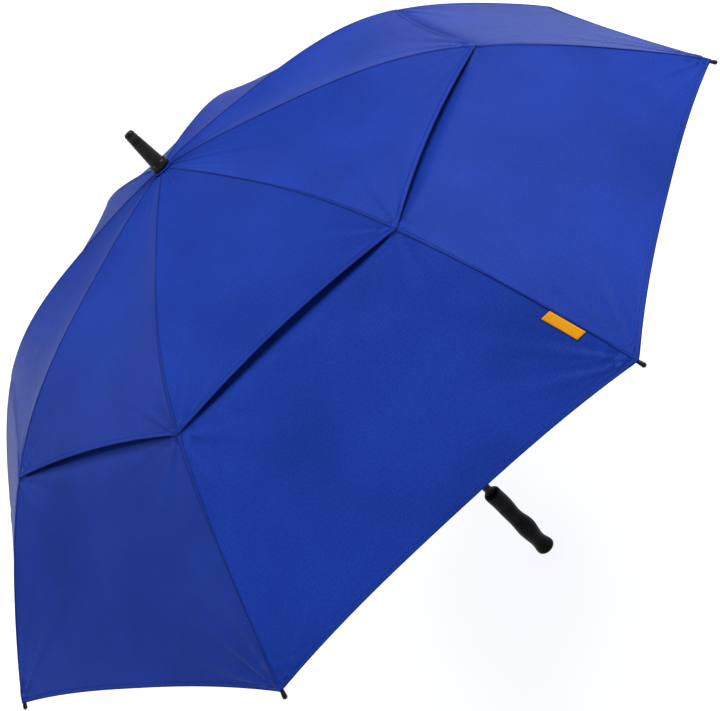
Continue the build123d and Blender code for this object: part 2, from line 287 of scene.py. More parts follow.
def bump(nodes, links, shader, height, strength, distance):
    node = nodes.new("ShaderNodeBump")
    node.inputs["Strength"].default_value = strength
    node.inputs["Distance"].default_value = distance
    links.new(height, node.inputs["Height"])
    links.new(node.outputs["Normal"], shader.inputs["Normal"])


DRIFT_SCALE = 7.0                       # broad drift of the cloth's colour
YARN_SCALE = 380.0                      # uneven yarns
WEAVE_SCALE = 420.0                     # crossed warp and weft
PUCKER_SCALE = 60.0


def cloth_material(name, dark, mid, light, roughness=0.5, sheen=0.2):
    """Plain-woven satin polyester: two crossed sets of threads, soft colour drift and a sheen."""
    material, nodes, links, shader = new_material(name)
    coords = nodes.new("ShaderNodeTexCoord").outputs
    drift = noise(nodes, links, coords["Object"], DRIFT_SCALE, 3.0)
    yarns = noise(nodes, links, coords["UV"], YARN_SCALE, 2.0)
    tone = mix(nodes, links, drift, 0.5, yarns, 0.5)
    drive(links, tone, ramp(nodes, [(0.36, dark), (0.5, mid), (0.64, light)]), shader, "Base Color")
    warp = wave(nodes, links, coords["UV"], WEAVE_SCALE, "X")
    weft = wave(nodes, links, coords["UV"], WEAVE_SCALE, "Y")
    weave = mix(nodes, links, warp, 0.5, weft, 0.5)
    puckers = noise(nodes, links, coords["Object"], PUCKER_SCALE, 3.0)
    bump(nodes, links, shader, mix(nodes, links, weave, 1.0, puckers, 1.2), 0.35, 0.3 * MM)
    gloss = ramp(nodes, [(0.0, roughness - 0.06), (1.0, roughness + 0.08)])
    drive(links, puckers, gloss, shader, "Roughness")
    shader.inputs["Sheen Weight"].default_value = sheen
    shader.inputs["Sheen Roughness"].default_value = 0.22
    shader.inputs["Sheen Tint"].default_value = (0.62, 0.74, 1.0, 1)
    shader.inputs["Specular IOR Level"].default_value = 0.11
    return material


PATCH_SCALE = 38.0                      # rubbed patches on moulded pieces


def moulded_material(name, colour, worn, roughness, grain_scale, grain_depth, specular=0.35):
    """Moulded plastic or rubber: a fine grain, small drift in gloss and lighter, rubbed patches."""
    material, nodes, links, shader = new_material(name)
    coords = nodes.new("ShaderNodeTexCoord").outputs
    patches = noise(nodes, links, coords["Object"], PATCH_SCALE, 5.0)
    drive(links, patches, ramp(nodes, [(0.42, colour), (0.78, worn)]), shader, "Base Color")
    gloss = ramp(nodes, [(0.3, roughness - 0.07), (0.7, roughness + 0.09)])
    drive(links, patches, gloss, shader, "Roughness")
    grain = noise(nodes, links, coords["Object"], grain_scale, 4.0, 0.6)
    bump(nodes, links, shader, grain, 0.5, grain_depth)
    shader.inputs["Specular IOR Level"].default_value = specular
    return material


def metal_material(name, colour, roughness, brush_scale):
    """Bright metal with fine brushing."""
    material, nodes, links, shader = new_material(name)
    coords = nodes.new("ShaderNodeTexCoord").outputs
    brushed = noise(nodes, links, coords["Object"], brush_scale, 3.0)
    gloss = ramp(nodes, [(0.3, roughness - 0.08), (0.7, roughness + 0.1)])
    drive(links, brushed, gloss, shader, "Roughness")
    tint = ramp(nodes, [(0.2, tuple(0.8 * c for c in colour)), (0.8, colour)])
    drive(links, brushed, tint, shader, "Base Color")
    bump(nodes, links, shader, brushed, 0.3, 0.04 * MM)
    shader.inputs["Metallic"].default_value = 1.0
    return material


def label_material():
    """Woven orange label tape, with no lettering."""
    material, nodes, links, shader = new_material("woven_label")
    coords = nodes.new("ShaderNodeTexCoord").outputs
    rows = wave(nodes, links, coords["UV"], 260.0, "Y", 1.5)
    drift = noise(nodes, links, coords["UV"], 220.0, 3.0)
    both = mix(nodes, links, rows, 0.6, drift, 0.4)
    tint = ramp(nodes, [(0.2, (0.86, 0.290, 0.003)), (0.8, (1.0, 0.470, 0.010))])
    drive(links, both, tint, shader, "Base Color")
    bump(nodes, links, shader, both, 0.5, 0.3 * MM)
    shader.inputs["Roughness"].default_value = 0.62
    shader.inputs["Specular IOR Level"].default_value = 0.12
    return material


CANOPY = cloth_material("canopy_cloth", dark=(0.0060, 0.033, 0.300), mid=(0.0085, 0.043, 0.370),
                        light=(0.0115, 0.053, 0.440))
# Seam cloth, a little darker than the canopy cloth: on the seams this is painted shade for their
# groove. The rosette and the strap tape use the same cloth.
SEAM = cloth_material("seam_cloth", dark=(0.0060, 0.031, 0.290), mid=(0.0072, 0.037, 0.330),
                      light=(0.0088, 0.043, 0.370))
# Dark thread for stitches and ties. It is also painted shade: it darkens the outermost strip of
# each hem and the cloth's cut edges, and the seams' dark stitch lines stand for the crease shade
# along their edges.
THREAD_AND_EDGE_SHADE = cloth_material("thread", dark=(0.003, 0.010, 0.090), mid=(0.004, 0.014, 0.120),
                        light=(0.006, 0.019, 0.150), roughness=0.6, sheen=0.1)
LABEL = label_material()
LABEL_EDGE = cloth_material("label_edge", dark=(0.010, 0.012, 0.030), mid=(0.016, 0.018, 0.045),
                            light=(0.022, 0.026, 0.060), roughness=0.6, sheen=0.1)
GRIP = moulded_material("grip_foam", (0.0022, 0.0022, 0.0019), (0.0045, 0.0045, 0.0040),
                        roughness=0.36, grain_scale=900.0, grain_depth=0.22 * MM, specular=0.055)
GLOSSY = moulded_material("glossy_plastic", (0.0040, 0.0038, 0.0032), (0.007, 0.0065, 0.0052),
                          roughness=0.28, grain_scale=420.0, grain_depth=0.04 * MM, specular=0.26)
SATIN = moulded_material("satin_plastic", (0.0085, 0.0085, 0.0090), (0.018, 0.018, 0.019),
                         roughness=0.42, grain_scale=700.0, grain_depth=0.10 * MM)
LACQUER = moulded_material("black_lacquer", (0.0040, 0.0040, 0.0042), (0.009, 0.009, 0.009),
                           roughness=0.26, grain_scale=300.0, grain_depth=0.03 * MM, specular=0.12)
PULTRUDED = moulded_material("rib_fibreglass", (0.0080, 0.0080, 0.0085), (0.020, 0.020, 0.020),
                             roughness=0.38, grain_scale=1200.0, grain_depth=0.06 * MM)
STEEL = metal_material("bright_steel", (0.62, 0.62, 0.60), roughness=0.28, brush_scale=900.0)


# ---- the canopy's shape ----
def smooth_step(value):
    value = min(max(value, 0.0), 1.0)
    return value * value * (3 - 2 * value)


def bell(value, centre, width):
    return math.exp(-((value - centre) / width) ** 2)


UPPER_SAG = 9.0 * MM                    # deepest half way down SAG_SPAN
SAG_SPAN = 0.50
HEM_LIFT = 2.5 * MM                     # the vent's hem stands up from LIFT_FROM on
LIFT_FROM, LIFT_LENGTH = 0.36, 0.09

TROUGH = 9.5 * MM                       # the lower layer draws away under the vent's hem
TROUGH_AT = 0.429
TROUGH_INSIDE, TROUGH_OUTSIDE = 0.052, 0.018
LOWER_SAG = 3.5 * MM
LOWER_SAG_AT, LOWER_SAG_WIDTH = 0.56, 0.12


def upper_sag(s, t):
    along = math.sin(math.pi * min(s / SAG_SPAN, 1.0)) ** 1.3
    return (UPPER_SAG * along - HEM_LIFT * smooth_step((s - LIFT_FROM) / LIFT_LENGTH)) * (1 - t * t)


def lower_sag(s, t):
    trough = bell(s, TROUGH_AT, TROUGH_INSIDE if s < TROUGH_AT else TROUGH_OUTSIDE)
    belly = bell(s, LOWER_SAG_AT, LOWER_SAG_WIDTH)
    return TROUGH * trough * (1 - t ** 6) + LOWER_SAG * belly * (1 - t * t)


class Layer:
    """One layer of the canopy: its range along the rib, its hem, its sag and what it rides on."""

    def __init__(self, name, body, start, hem, bow, bow_power, drop, sag, columns, seam_half,
                 keep, seed):
        self.name = name
        self.body = body                # the stretch of rib that carries it
        self.start = start
        self.hem = hem
        self.bow = bow                  # share of its length that the hem bows in
        self.bow_power = bow_power
        self.drop = drop
        self.sag = sag
        self.columns = columns
        self.seam_half = seam_half      # half the width of its seams
        self.keep = keep                # share of a half panel's width left when closed
        self.seed = seed

    def end(self, t):
        return self.hem * (1 - self.bow * (1 - abs(t) ** self.bow_power))

    def half_width(self, s):
        return (CURVE - self.drop) * math.sin(s / CURVE) * math.sin(HALF)


UPPER = Layer("upper", "inner", start=CROWN_HOLE, hem=VENT, bow=VENT_BOW, bow_power=2.0, drop=0.0,
              sag=upper_sag, columns=34, seam_half=1.7 * MM, keep=0.29, seed=11)
LOWER = Layer("lower", "outer", start=LOWER_START, hem=HEM, bow=HEM_BOW, bow_power=2.6,
              drop=LAYER_DROP, sag=lower_sag, columns=46, seam_half=2.9 * MM, keep=0.105, seed=47)


def rib_bend(s):
    """Offset of a rib from its plain arc, along the canopy's normal."""
    if s < DIP_AT:
        return DIP * math.sin(math.pi / 2 * s / DIP_AT)
    if s < PROUD_AT:
        return DIP + (PROUD - DIP) * smooth_step((s - DIP_AT) / (PROUD_AT - DIP_AT))
    if s < TAIL_AT:
        return PROUD + (TAIL - PROUD) * smooth_step((s - PROUD_AT) / (TAIL_AT - PROUD_AT))
    return TAIL * math.cos(math.pi / 2 * min((s - TAIL_AT) / (FULL - TAIL_AT), 1.0))


# Fans of creases: where on the rib they start, how far they reach, how many there are, how high
# they are and the chance numbers that they take.
FANS = {"upper": [(VENT, 0.070, 10, 0.9 * MM, 3)],
        "lower": [(HEM, 0.085, 13, 1.5 * MM, 3), (VENT, 0.075, 9, 1.0 * MM, 5)]}
CROWN_FOLDS = (3, 5, 8)                 # half waves across a panel near the crown
CROWN_FOLD = 0.26 * MM
CROWN_FOLD_AT, CROWN_FOLD_WIDTH = 0.05, 0.09
SWAY, SWAY_PITCH = 0.5 * MM, 0.23       # slow unevenness of every panel
HEM_WIDTH = 7 * MM
HEM_LIP, HEM_SLOPE = 0.28 * MM, 0.9 * MM    # the folded hem stands proud of the cloth


def folds_from(corner_s, s, t, radius, reach, count, height, phase):
    """Creases that fan out from a corner of the cloth on the rib, none on the rib or mid-panel."""
    across = radius * math.sin(HALF) * (1 - abs(t))
    along = s - corner_s
    distance = math.hypot(across, along)
    if distance < 1e-6:
        return 0.0
    angle = math.atan2(across, abs(along))
    fade = math.exp(-distance / reach) * (1 - math.exp(-distance / (0.12 * reach)))
    ripple = math.sin(count * angle + phase) + 0.5 * math.sin(1.9 * count * angle + 3 * phase)
    return height * fade * ripple * smooth_step(angle / 0.35) * smooth_step(abs(t) / 0.4)


DRAWS = {}


def draws(layer, panel):
    """The chance part of one panel's folds: eight phases and eight strengths."""
    if (layer.name, panel) not in DRAWS:
        chance = random.Random(layer.seed + 101 * panel)
        phases = [chance.uniform(-1.2, 1.2) for _ in range(8)]
        DRAWS[layer.name, panel] = phases, [chance.uniform(0.6, 1.25) for _ in range(8)]
    return DRAWS[layer.name, panel]


def relief(layer, panel, s, t):
    """Height of the cloth's folds over its smooth shape."""
    phases, strength = draws(layer, panel)
    side = 0 if t > 0 else 1
    radius = CURVE * math.sin(s / CURVE)
    pinned = 1 - t * t
    height = 0.0
    if layer is UPPER:
        fade = bell(s, CROWN_FOLD_AT, CROWN_FOLD_WIDTH)
        for k, count in enumerate(CROWN_FOLDS):
            ripple = math.sin(math.pi * count * t + phases[k])
            height += CROWN_FOLD * strength[k] * fade * ripple * pinned
    for corner_s, reach, count, tall, draw in FANS[layer.name]:
        draw += side
        height += folds_from(corner_s, s, t, radius, reach, count, tall * strength[draw],
                             phases[draw])
    wander = math.sin(math.tau * s / SWAY_PITCH + 2 * phases[7]) * math.sin(2.1 * t + phases[6])
    height += SWAY * wander * pinned
    return height + HEM_LIP * smooth_step((HEM_WIDTH - (layer.end(t) - s)) / HEM_SLOPE)


def panel_point(layer, panel, s, t, lift=0.0, flat=False):
    """A point of the panel, raised by lift. A flat one leaves the folds out."""
    angle = s / CURVE
    curve = CURVE - layer.drop
    radius = curve * math.sin(angle)
    height = TOP - CURVE + curve * math.cos(angle)
    out = lift + rib_bend(s) - layer.sag(s, t)
    if not flat:
        out += relief(layer, panel, s, t)
    x = radius * math.cos(HALF) + out * math.sin(angle)
    y = t * radius * math.sin(HALF)
    return turn((x, y, height + out * math.cos(angle)), azimuth(panel) + HALF)


def panel_normal(layer, panel, s, t):
    step = 0.4 * MM
    turn_step = step / max(layer.half_width(s), step)
    along = panel_point(layer, panel, s + step, t) - panel_point(layer, panel, s - step, t)
    across = (panel_point(layer, panel, s, t + turn_step)
              - panel_point(layer, panel, s, t - turn_step))
    return along.cross(across).normalized()


# ---- panels and seams ----
BODY_EDGE = 9.4 * MM                    # where the hem's own rows take over, up from its edge
HEM_ROWS = [8.4 * MM, 7.4 * MM, 6.6 * MM, 4.0 * MM, 1.0 * MM, 0.0]
HEM_STITCH = 5.6 * MM                   # stitch line, up from the hem's edge
STITCH_PITCH = 3.4 * MM
STITCH_SHARE = 0.66                     # share of the pitch that shows as thread
STITCH_HALF = 0.22 * MM                 # half a hem stitch's width
STITCH_BASE, STITCH_RISE = 0.12 * MM, 0.15 * MM


def hem_stitches(layer, panel, side, verts, normals, uvs, faces, slots):
    """Adds the hem's stitches to a half panel's lists, each a low closed pyramid."""
    count = int(layer.half_width(layer.hem) / STITCH_PITCH)
    for k in range(1, count):
        corners = []
        for part in (0.0, STITCH_SHARE):
            t = side * (1 - (k + part) / count)
            s = layer.end(t) - HEM_STITCH
            corners += [(panel_point(layer, panel, s + w, t, STITCH_BASE),
                         panel_normal(layer, panel, s, t), (t, s))
                        for w in (-STITCH_HALF, STITCH_HALF)]
        base = len(verts)
        for place, normal, uv in (corners[0], corners[1], corners[3], corners[2]):
            verts.append(place)
            normals.append(normal)
            uvs.append(uv)
        _, normal, uv = corners[0]
        verts.append(sum((corner[0] for corner in corners), Vector()) / 4 + normal * STITCH_RISE)
        normals.append(normal)
        uvs.append(uv)
        ring = [base, base + 1, base + 2, base + 3]
        faces += [(a, b, base + 4) for a, b in zip(ring, ring[1:] + ring[:1])]
        faces.append(tuple(reversed(ring)))
        slots += [1] * 5


def half_gore(layer, panel, side, step):
    """Half of a panel, sewn to one rib: closed cloth with two sides, a hem and its stitches."""
    columns = layer.columns
    body_rows = round((layer.hem - layer.start) / step)
    rows = body_rows + len(HEM_ROWS)
    verts, normals, uvs = [], [], []
    for k in range(columns):
        t = side * (1 - (k / (columns - 1)) ** 0.9)
        last = layer.end(t) - BODY_EDGE
        lengths = [layer.start + (last - layer.start) * r / (body_rows - 1)
                   for r in range(body_rows)]
        lengths += [layer.end(t) - edge for edge in HEM_ROWS]
        for s in lengths:
            verts.append(panel_point(layer, panel, s, t))
            normals.append(panel_normal(layer, panel, s, t))
            uvs.append((t * layer.half_width(s), s))
    count = len(verts)
    verts += [v - n * CLOTH for v, n in zip(verts, normals)]
    normals += [-n for n in normals]
    uvs += uvs
    outer = grid_faces(columns, rows)
    inner = [tuple(reversed(f)) for f in grid_faces(columns, rows, count)]
    border = [rows * k for k in range(columns)]
    border += [rows * (columns - 1) + r for r in range(1, rows)]
    border += [rows * k + rows - 1 for k in reversed(range(columns - 1))]
    border += list(reversed(range(rows - 1)))
    rim = [(a, b, b + count, a + count) for a, b in zip(border, border[1:])]
    faces = outer + inner + rim
    # The last strip of each column and the cloth's cut edges take the dark thread: painted shade
    # along the hem's edge and the rims.
    hem_edge = rows - 2                 # the last face of each column
    slots = [1 if k % (rows - 1) == hem_edge else 0 for k in range(len(outer))]
    slots += [0] * len(inner) + [1] * len(rim)
    hem_stitches(layer, panel, side, verts, normals, uvs, faces, slots)
    if side > 0:
        faces = [tuple(reversed(f)) for f in faces]
    name = f"{layer.name}_panel_{panel + 1}_{'a' if side < 0 else 'b'}"
    piece = make_piece(name, verts, faces, [CANOPY, THREAD_AND_EDGE_SHADE], slots, uvs=uvs)
    piece.data.normals_split_custom_set_from_vertices(normals)
    return piece


def rib_of(panel, side):
    """Number, from 0, of the rib that this half of the panel is sewn to."""
    return (panel + (1 if side > 0 else 0)) % RIBS


def crumple(piece):
    """Gives the half panel, or what is sewn on it, a mesh of its own."""
    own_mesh(piece)


def build_canopy():
    """Both layers, a half panel at a time, each on the rib that it is sewn to."""
    step = 5.5 * MM
    for panel in range(RIBS):
        for side in (-1, 1):
            rib = rib_of(panel, side)
            for layer in (UPPER, LOWER):
                piece = half_gore(layer, panel, side, step)
                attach(piece, f"rib_{rib + 1}_{layer.body}")
                crumple(piece)
                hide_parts(f"{layer.name}_canopy_{rib + 1}")


# Section of a felled seam: place across it as a share of its half width, and height in mm.
SEAM_SECTION = [(-1.0, 0.02), (-0.86, 0.26), (-0.70, 0.16), (-0.5, 0.38), (0.0, 0.30),
                (0.5, 0.38), (0.70, 0.16), (0.86, 0.26), (1.0, 0.02)]
SEAM_ROWS = 70
SEAM_LINE = 0.70                        # its stitch lines, as a share of the half width
SEAM_TAPE = 0.3 * MM
SEAM_THREAD = 0.20 * MM                 # half a stitch's width
SEAM_STITCH_SHARE = 0.72


def seam(layer, rib):
    """The felled seam over a rib: a low band of cloth a shade darker than the canopy, as painted
    shade, with a stitch line of dark thread along each edge that also paints the crease shade
    there.
    """
    left, right = (rib - 1) % RIBS, rib
    half = layer.seam_half
    first, last = layer.start + 4 * MM, layer.hem - 1.0 * MM
    verts, uvs = [], []

    def place(s, offset, height):
        narrowed = min(1.0, 0.45 + s / 0.12)        # narrower at the crown
        back = min(abs(offset) * narrowed / layer.half_width(s), 0.9)
        panel, t = (left, 1 - back) if offset < 0 else (right, -1 + back)
        return panel_point(layer, panel, s, t, height, flat=True)

    for k in range(SEAM_ROWS):
        s = first + (last - first) * k / (SEAM_ROWS - 1)
        for offset, height in SEAM_SECTION:
            verts.append(place(s, offset * half, height * MM))
            uvs.append((offset * half, s))
    faces = [tuple(reversed(f)) for f in grid_faces(SEAM_ROWS, len(SEAM_SECTION))]
    slots = [0] * len(faces)
    # Dark stitch dashes along both edges of the seam: thread, and painted shade for the creases
    # beside it.
    for k in range(int((last - first - 6 * MM) / STITCH_PITCH)):
        start = first + 3 * MM + k * STITCH_PITCH
        end = start + SEAM_STITCH_SHARE * STITCH_PITCH
        for sign in (-1, 1):
            near, far = sign * SEAM_LINE * half - SEAM_THREAD, sign * SEAM_LINE * half + SEAM_THREAD
            base = len(verts)
            for s, offset in ((start, near), (start, far), (end, far), (end, near)):
                verts.append(place(s, offset, 0.30 * MM))
                uvs.append((offset, s))
            faces.append((base, base + 1, base + 2, base + 3))
            slots.append(1)
    piece = make_piece(f"{layer.name}_seam_{rib + 1}", verts, faces, [SEAM, THREAD_AND_EDGE_SHADE], slots, uvs=uvs)
    thicken(piece, SEAM_TAPE)
    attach(piece, f"rib_{rib + 1}_{layer.body}")


# ---- ribs ----
ROD_POINTS = 96
ROD_START = 7 * MM                      # from the crown's pivot, along the rib
SOCKET_END = 20 * MM
EYE_END = 8.5 * MM
SOCKET_RADII = [2.5, 2.75, 2.75, 2.55, 2.75, 2.75, 2.7, 2.4]            # in mm
COLLAR_RADII = [2.6, 3.3, 3.4, 3.4, 3.1, 3.4, 3.4, 3.3, 2.6]
COLLAR_REACH = 6 * MM
TIE_PLACES = (0.520, 0.640)
# Tip cap, in mm: place along the rib from its end, and radius. A neck, a groove and a nose.
TIP_CAP = [(-9.0, 2.1), (-8.6, 2.4), (-3.0, 2.4), (-2.4, 2.8), (-1.4, 2.8), (-1.1, 2.5),
           (-0.5, 2.5), (-0.2, 2.8), (1.5, 2.85), (2.4, 2.7), (3.2, 2.3), (3.9, 1.5), (4.25, 0.5)]


def rib_point(angle, drop=0.0):
    reach = RIB_CURVE - drop + rib_bend(max(angle, 0.0) / RIB_ARC * FULL)
    return Vector((CROWN.x + reach * math.sin(angle), 0,
                   CROWN.z - RIB_CURVE + reach * math.cos(angle)))


def rib_angle(length):
    return length / RIB_CURVE


def rib_path(start, end, count):
    return [rib_point(start + (end - start) * k / (count - 1)) for k in range(count)]


def turned_path(path, rib):
    return [turn(p, azimuth(rib)) for p in path]


def rib_rod(rib):
    """The springy rod of one rib, from its crown fitting to its tip."""
    path = rib_path(rib_angle(ROD_START), RIB_ARC, ROD_POINTS)
    piece = tube(f"rib_rod_{rib + 1}", turned_path(path, rib), [ROD_RADIUS] * ROD_POINTS,
                 PULTRUDED, 12)
    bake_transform(piece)
    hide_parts(f"rib_{rib + 1}_inner", f"rib_{rib + 1}_outer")


def flat_bar(name, outline, thickness, material, rib):
    """A plate in the rib's plane with the given outline of (x, z) points."""
    count = len(outline)
    verts = []
    for y in (-thickness / 2, thickness / 2):
        verts += [turn((x, y, z), azimuth(rib)) for x, z in outline]
    faces = [tuple(range(count)), tuple(range(2 * count - 1, count - 1, -1))]
    faces += [(k, k + count, (k + 1) % count + count, (k + 1) % count) for k in range(count)]
    piece = make_piece(name, verts, faces, [material], smooth=False)
    face_outward(piece)
    return bevel(piece, 0.25 * MM)


def eye_outline(pivot, end, radius):
    """Outline of a bar with a round end at pivot and a square end."""
    ahead = (end - pivot).normalized()
    side = Vector((-ahead.z, 0, ahead.x))
    points = [end + side * radius]
    for k in range(13):
        angle = math.pi * k / 12
        points.append(pivot + side * math.cos(angle) * radius - ahead * math.sin(angle) * radius)
    points.append(end - side * radius)
    return [(p.x, p.z) for p in points]


def rib_fittings(rib):
    """The steel end at the crown, the stretcher's bracket and the ties to the lower canopy."""
    socket = rib_path(rib_angle(ROD_START), rib_angle(SOCKET_END), len(SOCKET_RADII))
    crown_socket = tube(f"rib_socket_{rib + 1}", turned_path(socket, rib),
                        [r * MM for r in SOCKET_RADII], STEEL, 16)
    eye = eye_outline(CROWN, rib_point(rib_angle(EYE_END)), 2.2 * MM)
    plate = flat_bar(f"rib_eye_{rib + 1}", eye, 2.0 * MM, STEEL, rib)
    reach = rib_angle(COLLAR_REACH)
    collar_path = rib_path(BRACKET_ARC - reach, BRACKET_ARC + reach, len(COLLAR_RADII))
    collar = tube(f"bracket_collar_{rib + 1}", turned_path(collar_path, rib),
                  [r * MM for r in COLLAR_RADII], SATIN, 18)
    lug_outline = eye_outline(BRACKET, rib_point(BRACKET_ARC, 2.6 * MM), 2.6 * MM)
    lug = flat_bar(f"bracket_lug_{rib + 1}", lug_outline, 2.4 * MM, SATIN, rib)
    for piece in (crown_socket, plate, collar, lug):
        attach(piece, f"rib_{rib + 1}_inner")
    ties(rib)


def ties(rib):
    """Thread ties that hold the lower canopy's seam to the rod."""
    for k, length in enumerate(TIE_PLACES):
        path, radii = [], []
        for j in range(5):
            path.append(rib_point(rib_angle(length) + rib_angle((j - 2) * 0.8 * MM)))
            radii.append((2.2 if j in (0, 4) else 2.75) * MM)
        piece = tube(f"rib_tie_{rib + 1}_{k + 1}", turned_path(path, rib), radii, THREAD_AND_EDGE_SHADE, 14)
        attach(piece, f"rib_{rib + 1}_outer")


def tip_cap(rib):
    """Black cap on the rib's end: a neck under the hem, a sewing groove and a round nose."""
    path = [rib_point(RIB_ARC + rib_angle(place * MM)) for place, _ in TIP_CAP]
    piece = tube(f"tip_cap_{rib + 1}", turned_path(path, rib), [r * MM for _, r in TIP_CAP],
                 GLOSSY, 20)
    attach(piece, f"rib_{rib + 1}_outer")
    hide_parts(f"rib_{rib + 1}_tip_cap")


# ---- ferrule and rosette ----
# The ferrule, in mm: radius, and height over its base, over its collar's top or under its tip.
COLLAR_HEIGHT = 10.0
FERRULE_BASE = [(7.1, 0.0), (12.2, 0.0), (12.9, 0.7), (13.0, 1.6)]
FERRULE_COLLAR = [(13.0, -2.2), (12.75, -1.0), (12.1, -0.2), (11.3, 0.0), (10.9, 0.2), (10.5, 0.9),
                  (10.35, 4.0), (9.5, 16.0), (8.6, 30.0), (7.75, 40.5), (7.5, 41.2), (7.5, 42.0),
                  (7.7, 42.8)]
FERRULE_TIP = [(7.1, -3.5), (6.6, -1.6), (5.6, -0.4), (4.2, 0.0), (0.0, 0.0)]

# The rosette, in mm: radius, and height over its base.
ROSETTE = [(7.4, 0.35), (11.0, 0.55), (13.2, 0.85), (14.4, 0.75), (15.2, 0.25), (15.3, -0.25),
           (14.6, -0.35)]
ROSETTE_SIDES = 144
GATHERS = 24                            # folds round the rosette's edge


def ferrule():
    low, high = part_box("ferrule")
    profile = []
    for points, origin in ((FERRULE_BASE, low.z), (FERRULE_COLLAR, low.z + COLLAR_HEIGHT * MM),
                           (FERRULE_TIP, high.z)):
        profile += [(radius * MM, origin + height * MM) for radius, height in points]
    piece = lathe("ferrule_nose", profile, GLOSSY, sides=64, crease=50)
    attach(piece, "root")
    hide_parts("ferrule")


def rosette():
    """Gathered ring of canopy cloth under the ferrule's collar."""
    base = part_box("canopy_rosette")[0].z
    verts, uvs = [], []
    for radius, height in ROSETTE:
        for k in range(ROSETTE_SIDES):
            angle = math.tau * k / ROSETTE_SIDES
            ripple = 0.16 * math.sin(GATHERS * angle) * smooth_step((radius - 9) / 5)
            flare = 0.22 * math.sin(GATHERS * angle + 0.6) * smooth_step((radius - 12) / 3)
            r = (radius + flare) * MM
            verts.append((r * math.cos(angle), r * math.sin(angle), base + (height + ripple) * MM))
            uvs.append((angle * 15 * MM, radius * MM))
    faces = grid_faces(len(ROSETTE), ROSETTE_SIDES, wrap=True)
    piece = make_piece("rosette_cloth", verts, faces, [SEAM], uvs=uvs)
    thicken(piece, 0.3 * MM)
    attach(piece, "root")
    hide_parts("canopy_rosette")


# ---- grip ----
# Radii in mm; places are shares of the length, down from the top.
GRIP_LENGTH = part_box("grip")[1].z
GRIP_RADIUS = 14.6
GRIP_SHAPE = [(0.44, 0.10, -1.0), (0.845, 0.085, -1.5), (0.635, 0.10, 1.9), (0.97, 0.06, 1.5)]
GRIP_FACE = math.radians(-108)          # azimuth of the thumb dimples
GRIP_DIMPLES = [(0.254, 0.10), (0.454, -0.05), (0.637, 0.12)]   # place, and turn from the face
FINGER_WAVE = 0.55                      # waves for the fingers, a quarter turn from the face
DIMPLE, DIMPLE_RIM, THUMB_BACK = 1.75, 0.45, 0.35
NECK_RADIUS, NECK = 7.7, 5 * MM
SHOULDER, END_ROUNDING, END_INSET = 6.5 * MM, 5.0 * MM, 4.2
GRIP_SIDES, GRIP_ROWS = 96, 168


def grip_radius(share, angle):
    radius = GRIP_RADIUS + sum(size * bell(share, place, width)
                               for place, width, size in GRIP_SHAPE)
    finger = math.cos(angle - GRIP_FACE - math.pi / 2)
    radius += (FINGER_WAVE * finger * math.sin(math.tau * (share - 0.12) / 0.40)
               * smooth_step(share / 0.2))
    for place, turn_by in GRIP_DIMPLES:
        off = (angle - GRIP_FACE - turn_by + math.pi) % math.tau - math.pi
        behind = off % math.tau - math.pi
        radius -= DIMPLE * bell(share, place, 0.050) * bell(off, 0.0, 0.42)
        radius += DIMPLE_RIM * bell(share, place, 0.085) * bell(off, 0.0, 0.70)
        radius -= THUMB_BACK * bell(share, place + 0.09, 0.05) * bell(behind, 0.0, 0.8)
    return radius


def quarter_round(depth, length):
    """Rises from 0 to 1 along a quarter circle as depth goes from 0 to length."""
    share = min(max(depth, 0.0) / length, 1.0)
    return math.sqrt(max(0.0, 1 - (1 - share) ** 2))


def grip():
    verts = []
    for k in range(GRIP_ROWS + 1):
        share = k / GRIP_ROWS
        depth = share * GRIP_LENGTH
        shoulder = quarter_round(depth - NECK, SHOULDER)
        base = quarter_round(GRIP_LENGTH - depth, END_ROUNDING)
        for s in range(GRIP_SIDES):
            angle = math.tau * s / GRIP_SIDES
            radius = NECK_RADIUS + (grip_radius(share, angle) - NECK_RADIUS) * shoulder
            radius = (radius - END_INSET * (1 - base)) * MM
            verts.append((radius * math.cos(angle), radius * math.sin(angle), GRIP_LENGTH - depth))
    faces = [tuple(reversed(f)) for f in grid_faces(GRIP_ROWS + 1, GRIP_SIDES, wrap=True)]
    faces.append(tuple(range(GRIP_ROWS * GRIP_SIDES, (GRIP_ROWS + 1) * GRIP_SIDES)))
    faces.append(tuple(range(GRIP_SIDES - 1, -1, -1)))
    piece = make_piece("grip_body", verts, faces, [GRIP])
    face_outward(piece)
    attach(piece, "root")
    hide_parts("grip")


# ---- label and strap ----
LABEL_PANEL = 5                         # panels are counted from 0 here
LABEL_START = HEM - 0.103
LABEL_ASIDE = 2.6 * MM                  # from its seam
LABEL_LENGTH, LABEL_WIDTH = 44 * MM, 13 * MM
LABEL_BORDER = 0.5 * MM

STRAP_PANEL = 1
STRAP_START = HEM - 0.165
STRAP_ASIDE = 14 * MM
STRAP_LENGTH, STRAP_WIDTH = 0.135, 22 * MM
HOOK_LENGTH, HOOK_WIDTH = 0.030, 17 * MM
HOOK_INSET, HOOK_ASIDE = 4 * MM, 2.5 * MM


def laid_patch(name, panel, start, aside, length, width, lift, material, inset=0.0):
    """A rectangle of woven tape on the lower layer, its long side along the panel's second rib."""
    columns, rows = 24, 8
    verts, uvs = [], []
    for r in range(rows):
        for c in range(columns):
            along = inset + (length - 2 * inset) * c / (columns - 1)
            across = inset + (width - 2 * inset) * r / (rows - 1)
            s = start + along
            t = 1 - (aside + across) / LOWER.half_width(s)
            crown = 0.25 * MM * math.sin(math.pi * r / (rows - 1))
            verts.append(panel_point(LOWER, panel, s, t, lift + crown))
            uvs.append((along, across))
    faces = [tuple(reversed(f)) for f in grid_faces(rows, columns)]
    piece = make_piece(name, verts, faces, [material], uvs=uvs)
    thicken(piece, 0.4 * MM)
    rib = rib_of(panel, 1)
    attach(piece, f"rib_{rib + 1}_outer")
    return piece, rib


